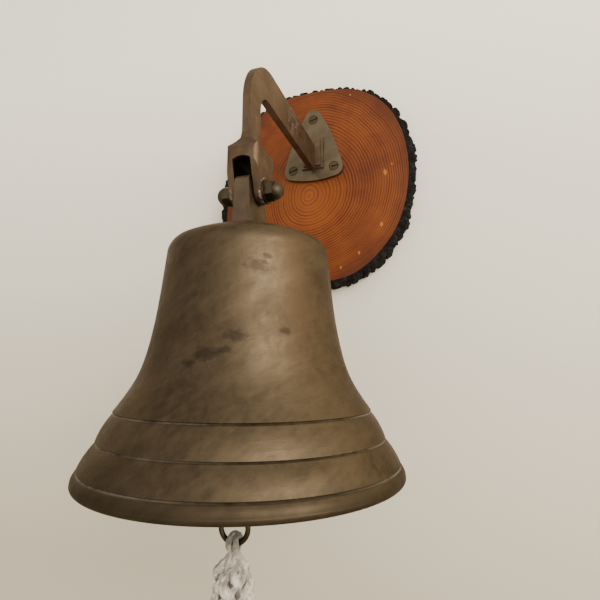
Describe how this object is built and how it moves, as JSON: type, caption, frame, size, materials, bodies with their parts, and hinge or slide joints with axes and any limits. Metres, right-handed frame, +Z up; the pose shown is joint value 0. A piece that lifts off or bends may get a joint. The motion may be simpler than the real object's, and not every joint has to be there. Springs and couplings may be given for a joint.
{
  "type": "ship bell",
  "caption": "Wall-mounted brass ship bell hung in a forked bracket on a bark-edged wooden slice, with a swinging clapper and a plaited bell rope.",
  "frame": {"origin": "on the wall, at the centre of the wooden slice's back face", "axes": "+X to the right seen from the front, +Y into the wall, +Z up"},
  "size_m": [0.2145, 0.2836, 0.6065],
  "materials": {
    "varnished_wood": "varnished, dark growth rings",
    "bark": "rough bark",
    "steel": "zinc plated",
    "plate_brass": "aged satin brass",
    "screw_brass": "dark aged brass",
    "arm_brass": "aged brown brass",
    "bell_brass": "aged satin brass with brown patina",
    "clapper_brass": "aged brass",
    "ring_brass": "dark bronze ring",
    "rope": "off-white plaited cotton rope"
  },
  "bodies": {
    "bracket": {"wood_slice": "varnished_wood", "bark_rim": "bark", "hanger_plate_left": "steel", "hanger_plate_right": "steel", "hanger_screws": "steel", "wall_plate": "plate_brass", "plate_screw_top": "screw_brass", "plate_screw_left": "screw_brass", "plate_screw_right": "screw_brass", "bracket_arm": "arm_brass", "pivot_bolt": "screw_brass", "acorn_nut": "screw_brass", "pivot_washer_left": "screw_brass", "pivot_washer_right": "screw_brass"},
    "bell": {"bell_shell": "bell_brass", "crown_lug": "arm_brass", "crown_washer": "screw_brass", "crown_nut": "screw_brass", "clapper_staple": "screw_brass"},
    "clapper": {"clapper_rod": "clapper_brass", "clapper_ball": "clapper_brass"},
    "ring": {"clapper_ring": "ring_brass"},
    "bell_rope": {"rope_eye": "rope", "rope_sennit": "rope", "rope_end_knot": "rope"}
  },
  "joints": [
    {"name": "bell_swing", "type": "hinge", "parent": "bracket", "child": "bell", "pos_m": [0, -0.1815, -0.071], "axis": [1, 0, 0], "range_deg": [-60, 28]},
    {"name": "clapper_swing", "type": "hinge", "parent": "bell", "child": "clapper", "pos_m": [0, -0.1815, -0.1345], "axis": [1, 0, 0], "range_deg": [-31, 31]},
    {"name": "ring_swing", "type": "hinge", "parent": "clapper", "child": "ring", "pos_m": [-0.00628, -0.1815, -0.28437], "axis": [1, 0, 0], "range_deg": [-30, 30]},
    {"name": "rope_swing", "type": "hinge", "parent": "ring", "child": "bell_rope", "pos_m": [-0.00628, -0.1815, -0.30337], "axis": [1, 0, 0], "range_deg": [-20, 20]}
  ]
}
